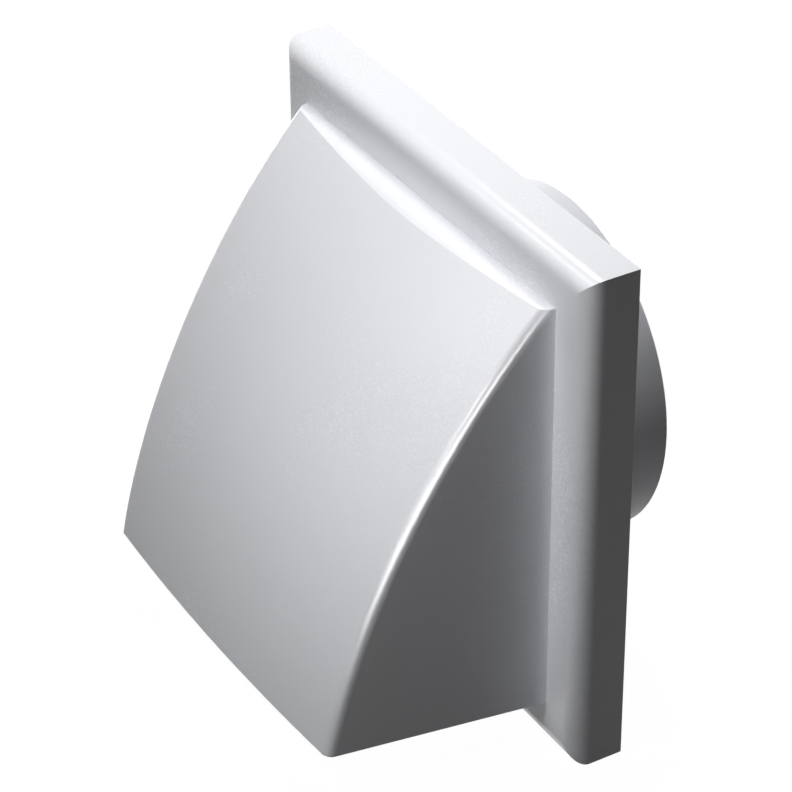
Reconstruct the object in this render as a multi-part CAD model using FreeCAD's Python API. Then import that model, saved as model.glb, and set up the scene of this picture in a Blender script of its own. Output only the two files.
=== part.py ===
import FreeCAD, Part
import math
import os
from FreeCAD import Vector

# Wall-mounted ventilation hood for a round duct, in millimetres.
# X runs to the right seen from the front, Y back into the wall, Z up.
# The origin is the centre of the square frame, in the wall plane.

# Frame of the cowl
frame_size = 187.0
frame_depth = 18.8
frame_wall = 2.5
frame_edge_radius = 6.5

# Hood of the cowl, with heights measured from the centre and depths from the frame's front
hood_width = 153.2
hood_top = 76.6
hood_bottom = 76.6
hood_reach = 80.9
hood_taper = 3.9
lip_level = 68.3
hood_wall = 2.2
hood_edge_radius = 3.4
sill_height = 4.6
outlet_corner_radius = 5.0

# Side profile of the front sheet, from the brow to the lip
brow_setback = 3.85
brow_angle = 46.2
brow_handle = 56.6
lip_angle = 78.7
lip_handle = 48.4
brow_crown = 5.0
lip_crown = 2.7

# Rounded brow between the flat top and the front sheet
brow_flat = 1.9
brow_drop = 1.3
brow_bulge = 0.25

# Base plate, a tray that stands inside the frame
tray_clearance = 0.5
plate_thickness = 2.5
rim_thickness = 2.0
rim_height = 8.0
brace_thickness = 1.8
brace_height = 6.5
brace_offset = 30.0

# Duct spigot and the seat in front of it
spigot_diameter = 122.3
spigot_wall = 2.0
spigot_length = 36.7
spigot_chamfer = 0.4
seat_width = 4.85
seat_height = 8.5

# Soft ring in the seat, and the foam strip against the wall
seal_width = 2.0
seal_height = 1.8
seal_stand_out = 0.6
soft_fit = 0.1
gasket_inset = 2.5
gasket_width = 4.5
gasket_depth = 1.5

# Back-draught flap
flap_overlap = 0.5
flap_thickness = 1.6
flap_rest_gap = 0.3
flap_opening = 35.0
flap_rib_width = 1.4
flap_rib_height = 2.0
flap_ring_radius = 32.0
flap_spoke_count = 6
arm_width = 8.0
arm_length = 15.0
arm_ramp = 5.0
arm_shoulder = 0.8

# Hinge of the flap
pin_diameter = 3.0
pin_fit = 0.02
pin_running_clearance = 0.07
knuckle_diameter = 6.4
knuckle_length = 11.6
knuckle_gap = 0.3
hinge_lift = 2.3
hinge_span = 64.8
lug_thickness = 4.0
lug_cover = 2.6
end_play = 0.4
pin_head_diameter = 5.6
pin_head_thickness = 1.0
clip_diameter = 6.4
clip_thickness = 0.8
pin_tail = 2.2
heel_thickness = 2.4
heel_width = 6.0
stop_margin = 0.5

# Screws through the frame's bottom edge, and hooks at its top edge
screw_spacing = 110.0
screw_diameter = 3.5
screw_head_diameter = 7.0
screw_length = 13.0
screw_setback = 8.0
screw_hole_clearance = 0.2
screw_fit = 0.02
screw_boss_width = 10.0
screw_boss_cover = 1.5
screw_recess_diameter = 2.4
screw_recess_depth = 1.4
screw_tip_diameter = 0.6
hook_spacing = 110.0
hook_width = 16.0
hook_thickness = 2.0
hook_setback = 5.5
hook_clearance = 0.4
hook_tip = 0.7

# Ribs in the frame that stand against the tray's rim
rib_thickness = 2.0
rib_height = 3.5
rib_offset = 30.0
rib_clearance = 0.3

# Fixing holes for wall screws
wall_hole_spacing = 160.0
wall_hole_diameter = 5.0
wall_boss_diameter = 12.0
wall_boss_height = 6.0

# Sizes that follow from the ones above
half_frame = frame_size / 2
frame_front = -frame_depth
frame_inside = frame_front + frame_wall
half_inside = half_frame - frame_wall
half_tray = half_inside - tray_clearance
rim_inner = half_tray - rim_thickness
half_hood = hood_width / 2
spigot_radius = spigot_diameter / 2
bore_radius = spigot_radius - spigot_wall
seat_radius = bore_radius + seat_width
seal_radius = (bore_radius + seat_radius) / 2
seal_floor = seal_height - seal_stand_out - seat_height
flap_radius = seat_radius + flap_overlap
flap_back = -(seat_height + seal_stand_out + flap_rest_gap)
flap_front = flap_back - flap_thickness
pin_radius = pin_diameter / 2
knuckle_radius = knuckle_diameter / 2
hinge_y = -(plate_thickness + knuckle_gap + knuckle_radius)
hinge_z = seat_radius + hinge_lift + knuckle_radius
lug_outer = hinge_span / 2
lug_inner = lug_outer - lug_thickness
knuckle_outer = lug_inner - end_play
knuckle_inner = knuckle_outer - knuckle_length
knuckle_middle = (knuckle_outer + knuckle_inner) / 2
screw_radius = screw_diameter / 2

# Reach of cutting tools past the faces they cut, and of rough outlines past the part
over = 1.0
margin = 10.0
far = 300.0

# Distance below which a point counts as lying on a face
touch = 0.05


def block(x_low, x_high, y_low, y_high, z_low, z_high):
    return Part.makeBox(x_high - x_low, y_high - y_low, z_high - z_low, Vector(x_low, y_low, z_low))


def rod(radius, start, end):
    path = end - start
    return Part.makeCylinder(radius, path.Length, start, path)


def ring(inner, outer, y_low, y_high):
    """A tube round the duct axis."""
    start = Vector(0, y_low, 0)
    end = Vector(0, y_high, 0)
    return rod(outer, start, end).cut(rod(inner, start - Vector(0, over, 0), end + Vector(0, over, 0)))


def side_prism(points, x_low, x_high):
    """A prism along X over an outline of (y, z) points."""
    corners = [Vector(x_low, y, z) for y, z in points]
    outline = Part.makePolygon(corners + corners[:1])
    return Part.Face(outline).extrude(Vector(x_high - x_low, 0, 0))


def square_ring(inner, outer, y_low, y_high):
    return block(-outer, outer, y_low, y_high, -outer, outer).cut(
        block(-inner, inner, y_low - over, y_high + over, -inner, inner))


def hood_half_width(y, inset):
    """Half width of the hood at a depth, where the sides draw in towards the lip."""
    depth = frame_front - y
    return half_hood - inset - hood_taper * depth / hood_reach


def underside_height(y):
    """Height of the slanted plane that ends the hood below."""
    depth = frame_front - y
    return -hood_bottom + (hood_bottom - lip_level) * depth / hood_reach


def hood_section(side, inset, back):
    """Closed outline of the hood seen from the side: side is -1 left, 0 middle, 1 right."""
    crown = 1 - abs(side)
    brow = math.radians(brow_angle)
    lip = math.radians(lip_angle)
    turn = lip - brow
    shrink = 1 - inset * turn / math.hypot(hood_reach, hood_top + lip_level)
    corner_y = frame_front - brow_setback - brow_crown * crown + inset * math.tan(brow / 2)
    corner_z = hood_top - inset
    lip_y = frame_front - hood_reach - lip_crown * crown + inset * math.sin(lip)
    lip_z = -lip_level - inset * math.cos(lip)
    tail = hood_bottom - lip_level + hood_wall + margin
    handle = brow_handle * shrink
    lip_pull = lip_handle * shrink

    def at(y, z):
        return Vector(side * hood_half_width(y, inset), y, z)

    back_top = at(back, corner_z)
    corner = at(corner_y, corner_z)
    first = at(corner_y - handle * math.cos(brow), corner_z - handle * math.sin(brow))
    second = at(lip_y + lip_pull * math.cos(lip), lip_z + lip_pull * math.sin(lip))
    lip_point = at(lip_y, lip_z)
    tail_point = at(lip_y - tail * math.cos(lip), lip_z - tail * math.sin(lip))
    back_bottom = at(back, -hood_bottom - tail)
    sheet = Part.BezierCurve()
    sheet.setPoles([corner, first, second, lip_point])
    return Part.Wire([
        Part.LineSegment(back_top, corner).toShape(),
        sheet.toShape(),
        Part.LineSegment(lip_point, tail_point).toShape(),
        Part.LineSegment(tail_point, back_bottom).toShape(),
        Part.LineSegment(back_bottom, back_top).toShape(),
    ])


def brow_section(side, inset):
    """Outline of the piece that the rounded brow takes off the corner of the hood."""
    crown = 1 - abs(side)
    reach = side * (half_hood + margin)
    shift = brow_crown * crown - inset * math.tan(math.radians(brow_angle) / 2)
    drop_run = brow_drop / math.tan(math.radians(brow_angle))
    top = hood_top - inset
    start_y = frame_front - brow_flat - shift
    end_y = frame_front - brow_setback - drop_run - shift
    end_z = top - brow_drop
    chord = math.hypot(end_y - start_y, brow_drop)
    slope = math.atan2(brow_drop, start_y - end_y)
    middle_y = (start_y + end_y) / 2 - brow_bulge * math.sin(slope)
    middle_z = (top + end_z) / 2 + brow_bulge * math.cos(slope)
    sweep = slope + 2 * math.atan2(2 * brow_bulge, chord)
    outside_y = end_y - margin
    outside_z = end_z - margin * math.tan(sweep)
    start = Vector(reach, start_y, top)
    end = Vector(reach, end_y, end_z)
    outside = Vector(reach, outside_y, outside_z)
    above = Vector(reach, outside_y, top + over)
    above_start = Vector(reach, start_y, top + over)
    return Part.Wire([
        Part.Arc(start, Vector(reach, middle_y, middle_z), end).toShape(),
        Part.LineSegment(end, outside).toShape(),
        Part.LineSegment(outside, above).toShape(),
        Part.LineSegment(above, above_start).toShape(),
        Part.LineSegment(above_start, start).toShape(),
    ])


def hood_form(inset, edge_radius):
    """The hood as a full body, inset from its outer surface, with its underside still long."""
    back = frame_front + margin
    body = Part.makeLoft([hood_section(side, inset, back) for side in (-1, 0, 1)], True, False)
    if edge_radius > 0:
        body = body.makeFillet(edge_radius, sheet_side_edges(body, inset))
    brow = Part.makeLoft([brow_section(side, inset) for side in (-1, 0, 1)], True, False)
    return body.cut(brow)


def sheet_side_edges(body, inset):
    """The two long curved edges between the front sheet and the sides."""
    edges = []
    for edge in body.Edges:
        middle = edge.valueAt((edge.FirstParameter + edge.LastParameter) / 2)
        on_side = abs(abs(middle.x) - hood_half_width(middle.y, inset)) < touch
        on_sheet = middle.y < frame_front - brow_setback and middle.z > -lip_level / 2
        if on_side and on_sheet and middle.z < hood_top - inset - over:
            edges.append(edge)
    return edges


def frame_form(half, front, back, edge_radius):
    """A square block whose four front edges are rounded."""
    body = block(-half, half, front, back, -half, half)
    edges = [edge for edge in body.Edges if abs(edge.BoundBox.YMax - front) < touch]
    return body.makeFillet(edge_radius, edges)


def cowl():
    outer = frame_form(half_frame, frame_front, 0, frame_edge_radius)
    inside = frame_form(half_inside, frame_inside, over, frame_edge_radius - frame_wall)

    low_y = frame_front - hood_reach - lip_crown - 2 * margin
    root = frame_front + frame_wall / 2
    below = side_prism([(root + over, underside_height(root + over)),
                        (low_y, underside_height(low_y)),
                        (low_y, -far), (root + over, -far)], -far, far)
    hood = hood_form(0, hood_edge_radius).common(block(-far, far, -far, root, -far, far)).cut(below)
    cavity = hood_form(hood_wall, 0).common(block(-far, far, -far, frame_front, -far, far))
    outlet_half = hood_half_width(frame_front, hood_wall)
    outlet = block(-outlet_half, outlet_half, frame_front - over, frame_inside + over,
                   -hood_bottom + sill_height, hood_top - hood_wall)
    outlet_edges = [edge for edge in outlet.Edges
                    if edge.BoundBox.YLength > frame_wall and edge.BoundBox.ZMax < 0]
    outlet = outlet.makeFillet(outlet_corner_radius, outlet_edges)

    shell = outer.fuse(hood).cut(inside).cut(cavity).cut(outlet)
    shell = shell.fuse(cowl_ribs() + cowl_hooks())
    for x in (-screw_spacing / 2, screw_spacing / 2):
        shell = shell.cut(cowl_screw_hole(x))
    return shell.removeSplitter()


def cowl_ribs():
    """Short ribs inside the frame that stop against the front edge of the tray's rim."""
    ribs = []
    for turn in (0, 90, 180, 270):
        for offset in (-rib_offset, rib_offset):
            rib = block(half_inside - rib_height, half_inside + over / 2,
                        frame_inside - over / 2, -rim_height - rib_clearance,
                        offset - rib_thickness / 2, offset + rib_thickness / 2)
            rib.rotate(Vector(0, 0, 0), Vector(0, 1, 0), turn)
            ribs.append(rib)
    return ribs


def hook_window(x, clearance):
    """Room for one hook in the rim, or the hook itself with no clearance."""
    return block(x - hook_width / 2 - clearance, x + hook_width / 2 + clearance,
                 -hook_setback - hook_thickness / 2 - clearance,
                 -hook_setback + hook_thickness / 2 + clearance,
                 rim_inner - over, half_inside + over / 2)


def cowl_hooks():
    """Wedge-shaped hooks under the top wall that the cowl hangs by on the tray."""
    hooks = []
    tip = rim_inner + hook_clearance
    root = half_inside + over / 2
    back = -hook_setback + hook_thickness / 2
    front = -hook_setback - hook_thickness / 2
    for x in (-hook_spacing / 2, hook_spacing / 2):
        outline = [(back, root), (back, (tip + half_inside) / 2), (front + hook_tip, tip),
                   (front, tip), (front, root)]
        hooks.append(side_prism(outline, x - hook_width / 2, x + hook_width / 2))
    return hooks


def screw_solid(x, extra):
    """A countersunk screw up through the frame's bottom edge, widened by an extra radius."""
    foot = -half_frame
    head_height = (screw_head_diameter - screw_diameter) / 2
    tip_height = screw_radius
    head_radius = screw_head_diameter / 2 + extra
    shank_radius = screw_radius + extra
    base = Vector(x, -screw_setback, foot)
    head = Part.makeCone(head_radius, shank_radius, head_height, base)
    shank_start = base + Vector(0, 0, head_height)
    shank_length = screw_length - head_height - tip_height
    shank = Part.makeCylinder(shank_radius, shank_length, shank_start)
    point_start = shank_start + Vector(0, 0, shank_length)
    point = Part.makeCone(shank_radius, screw_tip_diameter / 2 + extra, tip_height, point_start)
    return head.fuse([shank, point])


def cowl_screw_hole(x):
    hole = screw_solid(x, screw_hole_clearance)
    mouth = Part.makeCylinder(screw_head_diameter / 2 + screw_hole_clearance, over,
                              Vector(x, -screw_setback, -half_frame - over))
    return hole.fuse(mouth)


def cowl_screws():
    screws = []
    for x in (-screw_spacing / 2, screw_spacing / 2):
        recess = Part.makeCylinder(screw_recess_diameter / 2, screw_recess_depth,
                                   Vector(x, -screw_setback, -half_frame))
        screws.append(screw_solid(x, 0).cut(recess).removeSplitter())
    return Part.makeCompound(screws)


def lug_profile():
    """Outline of a hinge lug in Y and Z, from the plate to round the pin."""
    front = hinge_y - pin_radius - lug_cover
    top = hinge_z + pin_radius + lug_cover
    low = hinge_z - pin_radius - lug_cover
    return [(-plate_thickness + over / 2, top + lug_cover), (hinge_y, top), (front, hinge_z + pin_radius),
            (front, hinge_z - pin_radius), (hinge_y, low), (-plate_thickness + over / 2, low - lug_cover)]


def base_plate():
    plate = block(-half_tray, half_tray, -plate_thickness, 0, -half_tray, half_tray)
    rim = square_ring(rim_inner, half_tray, -rim_height, -plate_thickness / 2)
    spigot = ring(bore_radius, spigot_radius, -plate_thickness / 2, spigot_length)
    lead_in = Part.makeCone(spigot_radius, spigot_radius - spigot_chamfer, spigot_chamfer,
                            Vector(0, spigot_length - spigot_chamfer, 0), Vector(0, 1, 0))
    tip = ring(bore_radius, spigot_radius + over, spigot_length - spigot_chamfer, spigot_length)
    spigot = spigot.cut(tip.cut(lead_in))
    seat = ring(bore_radius, seat_radius, -seat_height, -plate_thickness / 2)
    body = plate.fuse([rim, spigot, seat] + tray_braces() + wall_bosses() + screw_bosses() + hinge_lugs())

    body = body.cut(rod(bore_radius, Vector(0, -seat_height - over, 0), Vector(0, spigot_length + over, 0)))
    groove_half = seal_width / 2 + soft_fit
    groove = ring(seal_radius - groove_half, seal_radius + groove_half, -seat_height - over, seal_floor)
    channel_outer = half_tray - gasket_inset
    channel = square_ring(channel_outer - gasket_width, channel_outer, -gasket_depth, over)
    body = body.cut(groove).cut(channel)
    for x, z in wall_hole_places():
        body = body.cut(rod(wall_hole_diameter / 2, Vector(x, -wall_boss_height - over, z), Vector(x, over, z)))
    for x in (-screw_spacing / 2, screw_spacing / 2):
        body = body.cut(screw_solid(x, screw_fit))
    for x in (-hook_spacing / 2, hook_spacing / 2):
        body = body.cut(hook_window(x, hook_clearance))
    pin_hole = rod(pin_radius + pin_fit, Vector(-lug_outer - over, hinge_y, hinge_z),
                   Vector(lug_outer + over, hinge_y, hinge_z))
    return body.cut(pin_hole).removeSplitter()


def wall_hole_places():
    half = wall_hole_spacing / 2
    return [(x, z) for x in (-half, half) for z in (-half, half)]


def wall_bosses():
    return [rod(wall_boss_diameter / 2, Vector(x, -plate_thickness / 2, z), Vector(x, -wall_boss_height, z))
            for x, z in wall_hole_places()]


def screw_bosses():
    """Blocks on the tray's lower rim that the cowl screws bite into."""
    depth = screw_setback + screw_radius + screw_boss_cover + over
    top = -half_frame + screw_length + screw_boss_cover
    return [block(x - screw_boss_width / 2, x + screw_boss_width / 2,
                  -depth, -plate_thickness / 2, -half_tray, top)
            for x in (-screw_spacing / 2, screw_spacing / 2)]


def tray_braces():
    """Flat ribs from the seat ring out to the rim, at both sides and below."""
    braces = []
    inner = math.sqrt(seat_radius ** 2 - (brace_offset + brace_thickness / 2) ** 2) - over
    for turn in (0, 90, 180):
        for offset in (-brace_offset, brace_offset):
            brace = block(inner, rim_inner + over / 2, -brace_height, -plate_thickness / 2,
                          offset - brace_thickness / 2, offset + brace_thickness / 2)
            brace.rotate(Vector(0, 0, 0), Vector(0, 1, 0), turn)
            braces.append(brace)
    return braces


def hinge_lugs():
    return [side_prism(lug_profile(), x_low, x_low + lug_thickness)
            for x_low in (-lug_outer, lug_inner)]


def flap_seal():
    return ring(seal_radius - seal_width / 2, seal_radius + seal_width / 2,
                seal_floor - seal_height, seal_floor)


def wall_gasket():
    outer = half_tray - gasket_inset - soft_fit
    inner = half_tray - gasket_inset - gasket_width + soft_fit
    return square_ring(inner, outer, -gasket_depth, 0)


def flap_pin():
    start = Vector(-lug_outer, hinge_y, hinge_z)
    end = Vector(lug_outer + pin_tail, hinge_y, hinge_z)
    head_start = start - Vector(pin_head_thickness, 0, 0)
    return rod(pin_radius, start, end).fuse(rod(pin_head_diameter / 2, head_start, start)).removeSplitter()


def pin_clip():
    start = Vector(lug_outer, hinge_y, hinge_z)
    end = start + Vector(clip_thickness, 0, 0)
    reach = Vector(over, 0, 0)
    return rod(clip_diameter / 2, start, end).cut(rod(pin_radius + pin_fit, start - reach, end + reach))


def heel_outline():
    """Heel above the pin that meets the plate when the flap is fully open."""
    stop = math.radians(flap_opening + stop_margin)
    room = -hinge_y - plate_thickness
    height = (room - heel_thickness / 2 * math.cos(stop)) / math.sin(stop)
    return [(hinge_y - heel_thickness / 2, hinge_z), (hinge_y - heel_thickness / 2, hinge_z + height),
            (hinge_y + heel_thickness / 2, hinge_z + height), (hinge_y + heel_thickness / 2, hinge_z)]


def arm_outline():
    """Arm from the disc up and back to the knuckle, in Y and Z."""
    foot = flap_radius - arm_length
    front = flap_front - flap_rib_height
    return [(flap_back, foot), (flap_back, flap_radius + arm_shoulder), (hinge_y, hinge_z - knuckle_radius),
            (hinge_y, hinge_z), (hinge_y - knuckle_radius, hinge_z), (front, flap_radius),
            (front, foot + arm_ramp), (flap_front, foot)]


def flap():
    disc = rod(flap_radius, Vector(0, flap_front, 0), Vector(0, flap_back, 0))
    rib_front = flap_front - flap_rib_height
    rib_back = flap_front + flap_thickness / 2
    edge_rib = ring(flap_radius - flap_rib_width, flap_radius, rib_front, rib_back)
    half_rib = flap_rib_width / 2
    middle_rib = ring(flap_ring_radius - half_rib, flap_ring_radius + half_rib, rib_front, rib_back)
    spokes = []
    for index in range(flap_spoke_count):
        spoke = block(flap_ring_radius, flap_radius - half_rib, rib_front, rib_back, -half_rib, half_rib)
        spoke.rotate(Vector(0, 0, 0), Vector(0, 1, 0), index * 360 / flap_spoke_count)
        spokes.append(spoke)
    hinge_parts = []
    for side in (-1, 1):
        inner = min(side * knuckle_inner, side * knuckle_outer)
        middle = side * knuckle_middle
        hinge_parts.append(rod(knuckle_radius, Vector(inner, hinge_y, hinge_z),
                               Vector(inner + knuckle_length, hinge_y, hinge_z)))
        hinge_parts.append(side_prism(arm_outline(), middle - arm_width / 2, middle + arm_width / 2))
        hinge_parts.append(side_prism(heel_outline(), middle - heel_width / 2, middle + heel_width / 2))
    body = disc.fuse([edge_rib, middle_rib] + spokes + hinge_parts)
    bore = rod(pin_radius + pin_running_clearance, Vector(-lug_outer, hinge_y, hinge_z),
               Vector(lug_outer, hinge_y, hinge_z))
    return body.cut(bore).removeSplitter()


pieces = {
    "cowl": cowl(),
    "base_plate": base_plate(),
    "flap": flap(),
    "flap_pin": flap_pin(),
    "pin_clip": pin_clip(),
    "flap_seal": flap_seal(),
    "wall_gasket": wall_gasket(),
    "cowl_screws": cowl_screws(),
}

os.makedirs("parts", exist_ok=True)
for name, shape in pieces.items():
    shape.exportStep(os.path.join("parts", name + ".step"))
    box = shape.BoundBox
    print(name, "solids", len(shape.Solids), "valid", shape.isValid(), "volume", round(shape.Volume),
          "x", round(box.XMin, 1), round(box.XMax, 1), "y", round(box.YMin, 1), round(box.YMax, 1),
          "z", round(box.ZMin, 1), round(box.ZMax, 1))
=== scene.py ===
import math
import bpy
from mathutils import Matrix, Vector


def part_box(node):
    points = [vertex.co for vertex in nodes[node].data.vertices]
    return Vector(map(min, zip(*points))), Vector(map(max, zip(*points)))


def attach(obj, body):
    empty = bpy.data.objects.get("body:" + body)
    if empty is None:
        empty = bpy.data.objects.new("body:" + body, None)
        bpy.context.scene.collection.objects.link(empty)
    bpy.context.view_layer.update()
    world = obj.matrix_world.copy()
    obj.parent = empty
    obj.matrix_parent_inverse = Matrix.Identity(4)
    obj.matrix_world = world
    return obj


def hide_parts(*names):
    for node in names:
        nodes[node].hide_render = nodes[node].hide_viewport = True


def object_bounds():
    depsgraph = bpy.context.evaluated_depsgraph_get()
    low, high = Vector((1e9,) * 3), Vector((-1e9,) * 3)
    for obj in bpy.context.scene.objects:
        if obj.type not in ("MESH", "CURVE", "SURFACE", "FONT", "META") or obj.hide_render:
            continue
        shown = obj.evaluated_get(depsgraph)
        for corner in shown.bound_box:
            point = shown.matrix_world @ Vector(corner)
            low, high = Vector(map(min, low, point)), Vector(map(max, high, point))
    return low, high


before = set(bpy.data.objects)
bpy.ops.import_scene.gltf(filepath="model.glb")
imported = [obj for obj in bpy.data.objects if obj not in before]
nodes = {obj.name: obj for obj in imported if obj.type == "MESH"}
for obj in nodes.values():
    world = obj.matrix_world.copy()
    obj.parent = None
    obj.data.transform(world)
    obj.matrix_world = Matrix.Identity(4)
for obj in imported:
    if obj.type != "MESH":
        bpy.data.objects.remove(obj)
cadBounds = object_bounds()
mm = 0.001
print("frame loaded:", ", ".join(sorted(nodes)))

bpy.context.scene.view_settings.view_transform = "Standard"

# Camera: where the photograph was taken from, shifted across and up from the wall plane's centre
cameraView = {
    "turn": 59.419,
    "tilt": 33.649,
    "roll": -0.419,
    "distance": 1085.93 * mm,
    "across": -25.96 * mm,
    "up": -4.4 * mm,
    "lens": 146.93,
    "sensor": 36,
    "nearest": 0.01,
    "farthest": 20,
}


def makeCamera(view):
    data = bpy.data.cameras.new("photoCamera")
    camera = bpy.data.objects.new("photoCamera", data)
    bpy.context.scene.collection.objects.link(camera)
    turned = (Matrix.Rotation(math.radians(view["turn"]), 4, "Z")
              @ Matrix.Rotation(math.radians(90 - view["tilt"]), 4, "X")
              @ Matrix.Rotation(math.radians(view["roll"]), 4, "Z"))
    place = turned @ Vector((view["across"], view["up"], view["distance"]))
    camera.matrix_world = Matrix.Translation(place) @ turned
    data.sensor_width = view["sensor"]
    data.lens = view["lens"]
    data.clip_start = view["nearest"]
    data.clip_end = view["farthest"]
    bpy.context.scene.camera = camera


makeCamera(cameraView)


# Node helpers: an input is given a value, or a socket to take it from
def add(tree, kind, inputs=None, **settings):
    node = tree.nodes.new(kind)
    for name, value in settings.items():
        setattr(node, name, value)
    for name, value in (inputs or {}).items():
        socket = node.inputs[name]
        if isinstance(value, bpy.types.NodeSocket):
            tree.links.new(value, socket)
        else:
            socket.default_value = value
    return node


# Returns the group's tree, the sockets it is given and the sockets it puts out
def newGroup(name, kind, inputs, outputs):
    tree = bpy.data.node_groups.new(name, kind)
    for socketName, socketType, value in inputs:
        socket = tree.interface.new_socket(name=socketName, in_out="INPUT", socket_type=socketType)
        if value is not None:
            socket.default_value = value
    for socketName, socketType in outputs:
        tree.interface.new_socket(name=socketName, in_out="OUTPUT", socket_type=socketType)
    return tree, add(tree, "NodeGroupInput").outputs, add(tree, "NodeGroupOutput").inputs


def newMaterial(name):
    material = bpy.data.materials.new(name)
    material.use_nodes = True
    material.node_tree.nodes.clear()
    return material, material.node_tree


def maths(tree, operation, first, second=0.0, clamp=False):
    node = add(tree, "ShaderNodeMath", {0: first, 1: second}, operation=operation, use_clamp=clamp)
    return node.outputs[0]


def between(tree, value, low, high):
    return add(tree, "ShaderNodeMapRange", {"Value": value, "To Min": low, "To Max": high}).outputs["Result"]


# The colours of a Mix node are its inputs 6 and 7, and its output 2
def mixColors(tree, factor, first, second):
    node = add(tree, "ShaderNodeMix", {0: factor, 6: first, 7: second}, data_type="RGBA", clamp_factor=True)
    return node.outputs[2]


def noise(tree, place, scale, detail):
    return add(tree, "ShaderNodeTexNoise", {"Vector": place, "Scale": scale, "Detail": detail}).outputs["Fac"]


# Surface groups: each takes a place on the object and gives a colour, a roughness and a height
def newSurface(name, inputs):
    return newGroup(name, "ShaderNodeTree", [("Vector", "NodeSocketVector", None)] + inputs, [
        ("Color", "NodeSocketColor"), ("Roughness", "NodeSocketFloat"), ("Height", "NodeSocketFloat")])


def giveSurface(tree, out, color, roughness, height):
    for name, socket in (("Color", color), ("Roughness", roughness), ("Height", height)):
        tree.links.new(socket, out[name])
    return tree


# Moulded plastic: faint clouds in the colour, uneven gloss and a very fine skin
def makeMouldedSkin():
    tree, given, out = newSurface("mouldedSkin", [
        ("Color", "NodeSocketColor", (0.8, 0.8, 0.8, 1)),
        ("Cloud Color", "NodeSocketColor", (0.7, 0.7, 0.7, 1)),
        ("Cloud Scale", "NodeSocketFloat", 20.0),
        ("Skin Scale", "NodeSocketFloat", 1500.0),
        ("Low Roughness", "NodeSocketFloat", 0.3),
        ("High Roughness", "NodeSocketFloat", 0.4),
    ])
    clouds = noise(tree, given["Vector"], given["Cloud Scale"], detail=3.0)
    skin = noise(tree, given["Vector"], given["Skin Scale"], detail=2.0)
    tint = mixColors(tree, clouds, given["Color"], given["Cloud Color"])
    # Both noises stay near a half, so their product is doubled
    gloss = maths(tree, "MULTIPLY", maths(tree, "MULTIPLY", clouds, skin), 2.0, clamp=True)
    roughness = between(tree, gloss, given["Low Roughness"], given["High Roughness"])
    return giveSurface(tree, out, tint, roughness, skin)


# Bright zinc on steel: streaks along one axis, small dull spots and fine turning marks
def makePlatedSteel():
    tree, given, out = newSurface("platedSteel", [
        ("Color", "NodeSocketColor", (0.7, 0.7, 0.7, 1)),
        ("Dull Color", "NodeSocketColor", (0.5, 0.5, 0.5, 1)),
        ("Streaks", "NodeSocketVector", (1.0, 1.0, 1.0)),
        ("Spot Scale", "NodeSocketFloat", 900.0),
        ("Low Roughness", "NodeSocketFloat", 0.25),
        ("High Roughness", "NodeSocketFloat", 0.5),
    ])
    stretched = add(tree, "ShaderNodeVectorMath", {0: given["Vector"], 1: given["Streaks"]},
                    operation="MULTIPLY")
    marks = noise(tree, stretched.outputs[0], scale=1.0, detail=4.0)
    spots = noise(tree, given["Vector"], given["Spot Scale"], detail=3.0)
    tint = mixColors(tree, spots, given["Color"], given["Dull Color"])
    roughness = between(tree, marks, given["Low Roughness"], given["High Roughness"])
    return giveSurface(tree, out, tint, roughness, marks)


# Closed cells of a soft material, each a little different in shade, with a pale bloom
def makeSoftCells():
    tree, given, out = newSurface("softCells", [
        ("Color", "NodeSocketColor", (0.1, 0.1, 0.1, 1)),
        ("Bloom Color", "NodeSocketColor", (0.2, 0.2, 0.2, 1)),
        ("Cell Scale", "NodeSocketFloat", 1000.0),
        ("Bloom Scale", "NodeSocketFloat", 60.0),
        ("Low Roughness", "NodeSocketFloat", 0.65),
        ("High Roughness", "NodeSocketFloat", 0.95),
    ])
    cells = add(tree, "ShaderNodeTexVoronoi", {"Vector": given["Vector"], "Scale": given["Cell Scale"]})
    bloom = noise(tree, given["Vector"], given["Bloom Scale"], detail=5.0)
    shade = maths(tree, "MULTIPLY", bloom, cells.outputs["Distance"], clamp=True)
    tint = mixColors(tree, shade, given["Color"], given["Bloom Color"])
    roughness = between(tree, bloom, given["Low Roughness"], given["High Roughness"])
    return giveSurface(tree, out, tint, roughness, cells.outputs["Distance"])


mouldedSkin = makeMouldedSkin()
platedSteel = makePlatedSteel()
softCells = makeSoftCells()

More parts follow.
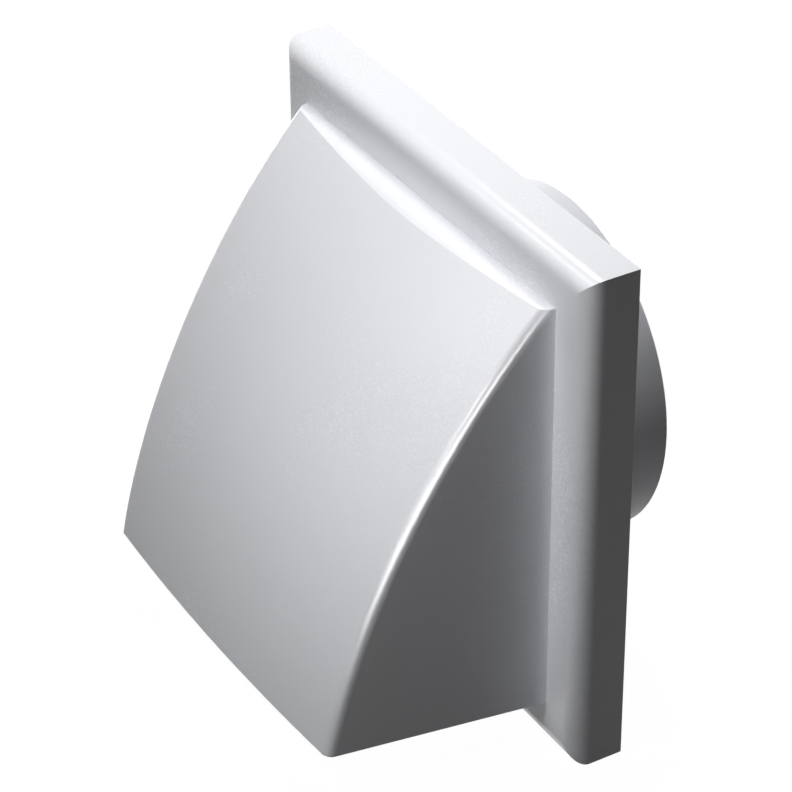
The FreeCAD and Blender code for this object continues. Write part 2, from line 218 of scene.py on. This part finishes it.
# The white plastics of the cowl, the base plate and the flap, and the steel, foam and rubber
finishes = {
    "cowlPlastic": {"group": mouldedSkin, "metallic": 0.0, "ior": 1.46, "bump": 0.08, "depth": 0.02 * mm,
                    "Color": (0.84, 0.848, 0.882, 1), "Cloud Color": (0.82, 0.829, 0.865, 1),
                    "Cloud Scale": 14.0, "Skin Scale": 1400.0, "Low Roughness": 0.22, "High Roughness": 0.3},
    # The base plate's plastic is greyer than the cowl's. This is painted shade: it darkens the spigot's top
    # the way the frame's shadow would.
    "platePlastic": {"group": mouldedSkin, "metallic": 0.0, "ior": 1.46, "bump": 0.12, "depth": 0.02 * mm,
                     "Color": (0.7, 0.708, 0.735, 1), "Cloud Color": (0.67, 0.678, 0.71, 1),
                     "Cloud Scale": 22.0, "Skin Scale": 1100.0, "Low Roughness": 0.38, "High Roughness": 0.5},
    "flapPlastic": {"group": mouldedSkin, "metallic": 0.0, "ior": 1.46, "bump": 0.1, "depth": 0.02 * mm,
                    "Color": (0.85, 0.855, 0.86, 1), "Cloud Color": (0.81, 0.815, 0.825, 1),
                    "Cloud Scale": 30.0, "Skin Scale": 1200.0, "Low Roughness": 0.34, "High Roughness": 0.46},
    "pinSteel": {"group": platedSteel, "metallic": 1.0, "ior": 1.5, "bump": 0.25, "depth": 0.01 * mm,
                 "Color": (0.7, 0.71, 0.72, 1), "Dull Color": (0.55, 0.56, 0.58, 1),
                 "Streaks": (9000, 400, 400), "Low Roughness": 0.22, "High Roughness": 0.42},
    "screwSteel": {"group": platedSteel, "metallic": 1.0, "ior": 1.5, "bump": 0.25, "depth": 0.01 * mm,
                   "Color": (0.72, 0.73, 0.75, 1), "Dull Color": (0.6, 0.6, 0.58, 1),
                   "Streaks": (500, 500, 4000), "Low Roughness": 0.28, "High Roughness": 0.5},
    "gasketFoam": {"group": softCells, "metallic": 0.0, "ior": 1.5, "bump": 0.9, "depth": 0.12 * mm,
                   "Color": (0.045, 0.047, 0.05, 1), "Bloom Color": (0.13, 0.13, 0.135, 1),
                   "Cell Scale": 2600.0, "Bloom Scale": 90.0, "Low Roughness": 0.8, "High Roughness": 0.98},
    "sealRubber": {"group": softCells, "metallic": 0.0, "ior": 1.5, "bump": 0.3, "depth": 0.02 * mm,
                   "Color": (0.16, 0.165, 0.17, 1), "Bloom Color": (0.26, 0.26, 0.27, 1),
                   "Cell Scale": 5000.0, "Bloom Scale": 40.0, "Low Roughness": 0.55, "High Roughness": 0.8},
}


def makeFinish(name, look):
    material, tree = newMaterial(name)
    place = add(tree, "ShaderNodeTexCoord").outputs["Object"]
    surface = add(tree, "ShaderNodeGroup", {"Vector": place}, node_tree=look["group"])
    for key, value in look.items():
        if key in surface.inputs:
            surface.inputs[key].default_value = value
    bump = add(tree, "ShaderNodeBump", {"Height": surface.outputs["Height"], "Strength": look["bump"],
                                        "Distance": look["depth"]})
    shader = add(tree, "ShaderNodeBsdfPrincipled", {
        "Base Color": surface.outputs["Color"], "Roughness": surface.outputs["Roughness"],
        "Metallic": look["metallic"], "IOR": look["ior"], "Normal": bump.outputs["Normal"]})
    add(tree, "ShaderNodeOutputMaterial", {"Surface": shader.outputs["BSDF"]})
    return material


materials = {name: makeFinish(name, look) for name, look in finishes.items()}

nodeFinish = {
    "cowl": "cowlPlastic",
    "base_plate": "platePlastic",
    "flap": "flapPlastic",
    "flap_pin": "pinSteel",
    "pin_clip": "pinSteel",
}
for nodeName, materialName in nodeFinish.items():
    mesh = nodes[nodeName].data
    mesh.materials.clear()
    mesh.materials.append(materials[materialName])
print("materials made and given to the nodes")


# Geometry Nodes: a tree works on a starting mesh and leaves a plain mesh with its place in its vertices
def newTree(name, inputs):
    tree, given, out = newGroup(
        name, "GeometryNodeTree",
        [("Geometry", "NodeSocketGeometry", None)] + inputs + [("Material", "NodeSocketMaterial", None)],
        [("Geometry", "NodeSocketGeometry")])
    tree.is_modifier = True
    return tree, given, out


def socketsOf(kind, value, names):
    return [(name, kind, value) for name in names]


def vector(tree, x=0.0, y=0.0, z=0.0):
    return add(tree, "ShaderNodeCombineXYZ", {"X": x, "Y": y, "Z": z}).outputs[0]


def finishTree(tree, given, out, geometry):
    realized = add(tree, "GeometryNodeRealizeInstances", {"Geometry": geometry})
    finished = add(tree, "GeometryNodeSetMaterial", {"Geometry": realized.outputs[0],
                                                     "Material": given["Material"]})
    tree.links.new(finished.outputs[0], out["Geometry"])
    return tree


def newPiece(name, points, edges=(), faces=()):
    mesh = bpy.data.meshes.new(name)
    mesh.from_pydata(points, edges, faces)
    piece = bpy.data.objects.new(name, mesh)
    bpy.context.scene.collection.objects.link(piece)
    return piece


# Faces that meet at more than this angle keep a sharp edge between them
sharpAngle = math.radians(35)


def runTree(piece, tree, values):
    modifier = piece.modifiers.new("tree", "NODES")
    modifier.node_group = tree
    for item in tree.interface.items_tree:
        if item.item_type == "SOCKET" and item.in_out == "INPUT" and item.name in values:
            modifier[item.identifier] = values[item.name]
    seen = piece.evaluated_get(bpy.context.evaluated_depsgraph_get())
    result = bpy.data.meshes.new_from_object(seen)
    piece.modifiers.remove(modifier)
    piece.data = result
    result.polygons.foreach_set("use_smooth", [True] * len(result.polygons))
    result.set_sharp_from_angle(angle=sharpAngle)


def settle(piece, body, node):
    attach(piece, body)
    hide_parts(node)


# The two countersunk screws under the frame: turned body, thread and cross recess, one at each point
screwLook = {
    "headDiameter": 7.0 * mm,
    "crestDiameter": 3.5 * mm,
    "coreDiameter": 2.6 * mm,
    "tipDiameter": 0.6 * mm,
    "pitch": 1.3 * mm,
    "recessSpan": 3.4 * mm,
    "recessWidth": 0.8 * mm,
    "recessDepth": 1.3 * mm,
    "stations": 79,
    "sides": 32,
    "threadSteps": 24,
    "ridgeSides": 4,
}


def makeScrewTree():
    tree, size, out = newTree(
        "countersunkScrew",
        socketsOf("NodeSocketFloat", 1.0 * mm, (
            "Head Radius", "Crest Radius", "Core Radius", "Tip Radius", "Length", "Pitch",
            "Recess Span", "Recess Width", "Recess Depth"))
        + socketsOf("NodeSocketInt", 8, ("Stations", "Sides", "Thread Steps", "Ridge Sides")))
    axis = add(tree, "GeometryNodeCurvePrimitiveLine", {"End": vector(tree, z=size["Length"])})
    axis = add(tree, "GeometryNodeResampleCurve", {"Curve": axis.outputs[0], "Count": size["Stations"]})
    position = add(tree, "GeometryNodeInputPosition").outputs[0]
    height = add(tree, "ShaderNodeSeparateXYZ", {0: position}).outputs["Z"]
    headCone = maths(tree, "SUBTRACT", size["Head Radius"], height)
    tipCone = maths(tree, "ADD", size["Tip Radius"], maths(tree, "SUBTRACT", size["Length"], height))
    radius = maths(tree, "MINIMUM", maths(tree, "MAXIMUM", headCone, size["Core Radius"]), tipCone)
    section = add(tree, "GeometryNodeCurvePrimitiveCircle", {"Resolution": size["Sides"], "Radius": 1.0})
    body = add(tree, "GeometryNodeCurveToMesh", {
        "Curve": axis.outputs[0], "Profile Curve": section.outputs[0], "Scale": radius, "Fill Caps": True})
    # The thread starts under the head and runs out before the point
    headHeight = maths(tree, "SUBTRACT", size["Head Radius"], size["Core Radius"])
    threaded = maths(tree, "SUBTRACT", maths(tree, "SUBTRACT", size["Length"], headHeight),
                     size["Crest Radius"])
    flank = maths(tree, "SUBTRACT", size["Crest Radius"], size["Core Radius"])
    spiral = add(tree, "GeometryNodeCurveSpiral", {
        "Resolution": size["Thread Steps"], "Rotations": maths(tree, "DIVIDE", threaded, size["Pitch"]),
        "Start Radius": size["Core Radius"], "End Radius": size["Core Radius"], "Height": threaded})
    ridge = add(tree, "GeometryNodeCurvePrimitiveCircle", {
        "Resolution": size["Ridge Sides"], "Radius": flank})
    thread = add(tree, "GeometryNodeCurveToMesh", {
        "Curve": spiral.outputs[0], "Profile Curve": ridge.outputs[0], "Fill Caps": True})
    thread = add(tree, "GeometryNodeTransform", {
        "Geometry": thread.outputs[0], "Translation": vector(tree, z=headHeight)})
    # Cross recess: two crossed bars taken out of the head, one after the other
    depth = maths(tree, "MULTIPLY", size["Recess Depth"], 2.0)
    bars = ((size["Recess Span"], size["Recess Width"]), (size["Recess Width"], size["Recess Span"]))
    for x, y in bars:
        bar = add(tree, "GeometryNodeMeshCube", {"Size": vector(tree, x, y, depth)})
        body = add(tree, "GeometryNodeMeshBoolean", {"Mesh 1": body.outputs[0], "Mesh 2": bar.outputs[0]},
                   operation="DIFFERENCE", solver="EXACT")
    screw = add(tree, "GeometryNodeJoinGeometry", {0: body.outputs[0]})
    tree.links.new(thread.outputs[0], screw.inputs[0])
    placed = add(tree, "GeometryNodeInstanceOnPoints", {"Points": size["Geometry"],
                                                       "Instance": screw.outputs[0]})
    return finishTree(tree, size, out, placed.outputs[0])


def makeScrews(look):
    low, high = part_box("cowl_screws")
    reach = look["headDiameter"] / 2
    middle = (low.y + high.y) / 2
    screws = newPiece("cowlScrews", [(low.x + reach, middle, low.z), (high.x - reach, middle, low.z)])
    runTree(screws, makeScrewTree(), {
        "Head Radius": reach, "Crest Radius": look["crestDiameter"] / 2,
        "Core Radius": look["coreDiameter"] / 2, "Tip Radius": look["tipDiameter"] / 2,
        "Length": high.z - low.z, "Pitch": look["pitch"], "Recess Span": look["recessSpan"],
        "Recess Width": look["recessWidth"], "Recess Depth": look["recessDepth"],
        "Stations": look["stations"], "Sides": look["sides"], "Thread Steps": look["threadSteps"],
        "Ridge Sides": look["ridgeSides"], "Material": materials["screwSteel"]})
    settle(screws, "housing", "cowl_screws")


makeScrews(screwLook)
print("screws made")

# Foam against the wall: a strip with mitred ends, set round the square four times
gasketLook = {
    "width": 4.3 * mm,
    "rounding": 0.35 * mm,
    "roundingSteps": 3,
    "steps": 241,
    "wander": 0.12 * mm,
    "wanderScale": 700.0,
    "cutGap": 0.12 * mm,
    "seed": 7.0,
}


def makeStripTree():
    tree, size, out = newTree(
        "mitredStrips",
        socketsOf("NodeSocketFloat", 1.0 * mm, (
            "Outer", "Width", "Depth", "Rounding", "Wander", "Wander Scale", "Cut Gap", "Seed"))
        + socketsOf("NodeSocketInt", 8, ("Steps", "Rounding Steps")))
    line = add(tree, "GeometryNodeCurvePrimitiveLine", {
        "Start": vector(tree, maths(tree, "MULTIPLY", size["Outer"], -1.0)),
        "End": vector(tree, size["Outer"])})
    line = add(tree, "GeometryNodeResampleCurve", {"Curve": line.outputs[0], "Count": size["Steps"]})
    section = add(tree, "GeometryNodeCurvePrimitiveQuadrilateral", {"Width": size["Depth"],
                                                                   "Height": size["Width"]})
    section = add(tree, "GeometryNodeFilletCurve", {
        "Curve": section.outputs[0], "Radius": size["Rounding"],
        "Count": size["Rounding Steps"]}, mode="POLY")
    strip = add(tree, "GeometryNodeCurveToMesh", {
        "Curve": line.outputs[0], "Profile Curve": section.outputs[0], "Fill Caps": True})
    middle = maths(tree, "SUBTRACT", size["Outer"], maths(tree, "MULTIPLY", size["Width"], 0.5))
    strip = add(tree, "GeometryNodeTransform", {
        "Geometry": strip.outputs[0],
        "Translation": vector(tree, y=maths(tree, "MULTIPLY", size["Depth"], -0.5), z=middle)})
    # Each end is cut on the square's diagonal, with a hair's gap
    position = add(tree, "GeometryNodeInputPosition").outputs[0]
    place = add(tree, "ShaderNodeSeparateXYZ", {0: position}).outputs
    share = maths(tree, "DIVIDE", maths(tree, "SUBTRACT", place["Z"], size["Cut Gap"]), size["Outer"])
    mitred = add(tree, "GeometryNodeSetPosition", {
        "Geometry": strip.outputs[0],
        "Position": vector(tree, maths(tree, "MULTIPLY", place["X"], share), place["Y"], place["Z"])})
    # The foam's skin wanders a little. The noise stays under its top, so that it always moves inwards
    noiseTop = 0.85
    grain = add(tree, "ShaderNodeTexNoise", {
        "Vector": position, "Scale": size["Wander Scale"], "W": size["Seed"], "Detail": 2.0},
        noise_dimensions="4D")
    swing = maths(tree, "MULTIPLY", maths(tree, "SUBTRACT", grain.outputs["Fac"], noiseTop), size["Wander"])
    outward = add(tree, "GeometryNodeInputNormal").outputs[0]
    push = add(tree, "ShaderNodeVectorMath", {0: outward, "Scale": swing}, operation="SCALE")
    rough = add(tree, "GeometryNodeSetPosition", {"Geometry": mitred.outputs[0], "Offset": push.outputs[0]})
    sides = 4
    corners = add(tree, "GeometryNodeMeshLine", {"Count": sides, "Offset": (0, 0, 0)})
    turn = maths(tree, "MULTIPLY", add(tree, "GeometryNodeInputIndex").outputs[0], math.tau / sides)
    placed = add(tree, "GeometryNodeInstanceOnPoints", {
        "Points": corners.outputs[0], "Instance": rough.outputs[0], "Rotation": vector(tree, y=turn)})
    return finishTree(tree, size, out, placed.outputs[0])


def makeGasket(look):
    low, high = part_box("wall_gasket")
    gasket = newPiece("wallGasket", [(0, 0, 0)])
    runTree(gasket, makeStripTree(), {
        "Outer": high.x, "Width": look["width"], "Depth": high.y - low.y, "Rounding": look["rounding"],
        "Rounding Steps": look["roundingSteps"], "Steps": look["steps"], "Wander": look["wander"],
        "Wander Scale": look["wanderScale"], "Cut Gap": look["cutGap"], "Seed": look["seed"],
        "Material": materials["gasketFoam"]})
    settle(gasket, "housing", "wall_gasket")


makeGasket(gasketLook)
print("gasket made")

# Soft ring in the seat: a gripping root in the groove and a round bead in front, swept round a circle
sealLook = {
    "width": 2.0 * mm,
    "gripDepth": 0.12 * mm,
    "gripCount": 3,
    "rootHeight": 1.15 * mm,
    "beadSteps": 8,
    "turnSteps": 160,
}


# Outline of the ring's section, as distances across and forward from the groove's floor
def sealSection(look, height):
    half = look["width"] / 2
    waist = half - look["gripDepth"]
    pitch = look["rootHeight"] / look["gripCount"]
    side = []
    for index in range(look["gripCount"]):
        side += [(waist, index * pitch), (half, (index + 0.5) * pitch)]
    beadHeight = height - look["rootHeight"]
    bead = []
    for index in range(look["beadSteps"] + 1):
        angle = math.pi * index / look["beadSteps"]
        bead.append((waist * math.cos(angle), look["rootHeight"] + beadHeight * math.sin(angle)))
    return side + bead + [(-across, forward) for across, forward in reversed(side)]


# The ring is swept lying flat, then stood up with its bead to the front
def makeRingTree():
    tree, given, out = newTree("sweptRing", [
        ("Ring Radius", "NodeSocketFloat", 10.0 * mm), ("Floor", "NodeSocketFloat", 0.0),
        ("Steps", "NodeSocketInt", 32)])
    section = add(tree, "GeometryNodeMeshToCurve", {"Mesh": given["Geometry"]})
    path = add(tree, "GeometryNodeCurvePrimitiveCircle", {"Resolution": given["Steps"],
                                                         "Radius": given["Ring Radius"]})
    ring = add(tree, "GeometryNodeCurveToMesh", {"Curve": path.outputs[0],
                                                "Profile Curve": section.outputs[0]})
    stood = add(tree, "GeometryNodeTransform", {
        "Geometry": ring.outputs[0], "Translation": vector(tree, y=given["Floor"]),
        "Rotation": (-math.pi / 2, 0, 0)})
    return finishTree(tree, given, out, stood.outputs[0])


def makeSeal(look):
    low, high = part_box("flap_seal")
    outline = [(across, forward, 0) for across, forward in sealSection(look, high.y - low.y)]
    count = len(outline)
    seal = newPiece("flapSeal", outline, edges=[(index, (index + 1) % count) for index in range(count)])
    runTree(seal, makeRingTree(), {
        "Ring Radius": high.x - look["width"] / 2, "Floor": high.y, "Steps": look["turnSteps"],
        "Material": materials["sealRubber"]})
    settle(seal, "housing", "flap_seal")


makeSeal(sealLook)
print("seal made")

# Studio: soft lamps above, before and round the hood, and white cards before its right edge that give
# it only their gloss. Lengths are in metres, powers in watts, a card's bearing and height in degrees
studio = {
    "aim": (0, -0.03, 0),
    "lamps": {
        "overhead": {"place": (0, -0.03, 0.5), "size": 0.1, "power": 0.86},
        "overheadLeft": {"place": (-0.3, 0.1, 0.6), "size": 0.15, "power": 2.06},
        "high": {"place": (0.07, -0.333, 0.175), "size": 0.07, "power": 0.19},
        "near": {"place": (0.1, -0.2, 0.12), "size": 0.04, "power": 0.08},
        "low": {"place": (0.07, -0.375, 0.06), "size": 0.07, "power": 0.08},
        "left": {"place": (-0.6, 0.12, 0), "size": 0.3, "power": 1.5},
        "behind": {"place": (-0.25, 0.6, 0.1), "size": 0.3, "power": 1.7},
        "below": {"place": (-0.4, 0.08, -0.55), "size": 0.3, "power": 2.2},
    },
    "cardCentre": (0.08, -0.05, 0),
    "cardDistance": 0.6,
    "cardSize": 0.22,
    "cards": {
        "cardFarLeft": {"bearing": -60, "height": 52, "power": 0.8},
        "cardLeftHigh": {"bearing": -38, "height": 34, "power": 0.4},
        "cardLeft": {"bearing": -14, "height": 20, "power": 0.6},
        "cardMiddle": {"bearing": 8, "height": 5, "power": 1.1},
        "cardMiddleHigh": {"bearing": 12, "height": 20, "power": 0.7},
        "cardLow": {"bearing": 32, "height": -4, "power": 1.7},
        "cardRight": {"bearing": 28, "height": 8, "power": 1.3},
        "cardFarRight": {"bearing": 42, "height": 6, "power": 1.8},
        "cardEnd": {"bearing": 58, "height": 4, "power": 2.7},
        "cardEndHigh": {"bearing": 57, "height": 20, "power": 1.5},
    },
}


def makeLamp(name, place, size, power):
    data = bpy.data.lights.new(name, "AREA")
    data.size = size
    data.energy = power
    light = bpy.data.objects.new(name, data)
    bpy.context.scene.collection.objects.link(light)
    light.location = place
    light.rotation_mode = "QUATERNION"
    light.rotation_quaternion = (light.location - Vector(studio["aim"])).to_track_quat("Z", "Y")
    return light


# A bearing of 0 is straight before the cards' centre, and 90 is to its right
def makeCard(name, bearing, height, power):
    turn = math.radians(bearing)
    rise = math.radians(height)
    away = Vector((math.sin(turn) * math.cos(rise), -math.cos(turn) * math.cos(rise), math.sin(rise)))
    place = Vector(studio["cardCentre"]) + studio["cardDistance"] * away
    light = makeLamp(name, place, studio["cardSize"], power)
    light.visible_diffuse = False


for name, lamp in studio["lamps"].items():
    makeLamp(name, **lamp)
for name, card in studio["cards"].items():
    makeCard(name, **card)
print("lamps and cards placed")


# 1 for a ray that comes straight from the camera, by a reflection or through something clear, else 0
def seenDirectly(tree):
    path = add(tree, "ShaderNodeLightPath").outputs
    seen = maths(tree, "MAXIMUM", path["Is Camera Ray"], path["Is Glossy Ray"])
    return maths(tree, "MAXIMUM", seen, path["Is Transmission Ray"])


# The room is white to look at and gives no light
def makeRoom():
    world = bpy.data.worlds.new("whiteRoom")
    bpy.context.scene.world = world
    world.use_nodes = True
    tree = world.node_tree
    tree.nodes.clear()
    white = add(tree, "ShaderNodeBackground", {"Color": (1, 1, 1, 1), "Strength": seenDirectly(tree)})
    add(tree, "ShaderNodeOutputWorld", {"Surface": white.outputs[0]})


makeRoom()

# Pale floor under the frame's bottom edge: near white where nothing shades it, and clear to the lamp
# below it and to a camera that looks up through it
floorLook = {"size": 6.0, "drop": 0.2 * mm, "color": (0.05, 0.05, 0.05, 1), "roughness": 0.5, "seen": 0.98}


def makeFloor(look, lowest):
    half = look["size"] / 2
    height = lowest - look["drop"]
    corners = [(x * half, y * half, height) for x, y in ((-1, -1), (1, -1), (1, 1), (-1, 1))]
    floor = newPiece("paleFloor", corners, faces=[(0, 1, 2, 3)])
    material, tree = newMaterial("paleFloor")
    matt = add(tree, "ShaderNodeBsdfDiffuse", {"Color": look["color"], "Roughness": look["roughness"]})
    level = maths(tree, "MULTIPLY", seenDirectly(tree), look["seen"])
    glow = add(tree, "ShaderNodeEmission", {"Color": (1, 1, 1, 1), "Strength": level})
    both = add(tree, "ShaderNodeAddShader", {0: matt.outputs[0], 1: glow.outputs[0]})
    clear = add(tree, "ShaderNodeBsdfTransparent")
    fromBelow = add(tree, "ShaderNodeNewGeometry").outputs["Backfacing"]
    toLamp = add(tree, "ShaderNodeLightPath").outputs["Is Shadow Ray"]
    passed = maths(tree, "MAXIMUM", fromBelow, toLamp)
    shown = add(tree, "ShaderNodeMixShader", {0: passed, 1: both.outputs[0], 2: clear.outputs[0]})
    add(tree, "ShaderNodeOutputMaterial", {"Surface": shown.outputs[0]})
    floor.data.materials.append(material)


makeFloor(floorLook, cadBounds[0][2])
print("room and floor made")
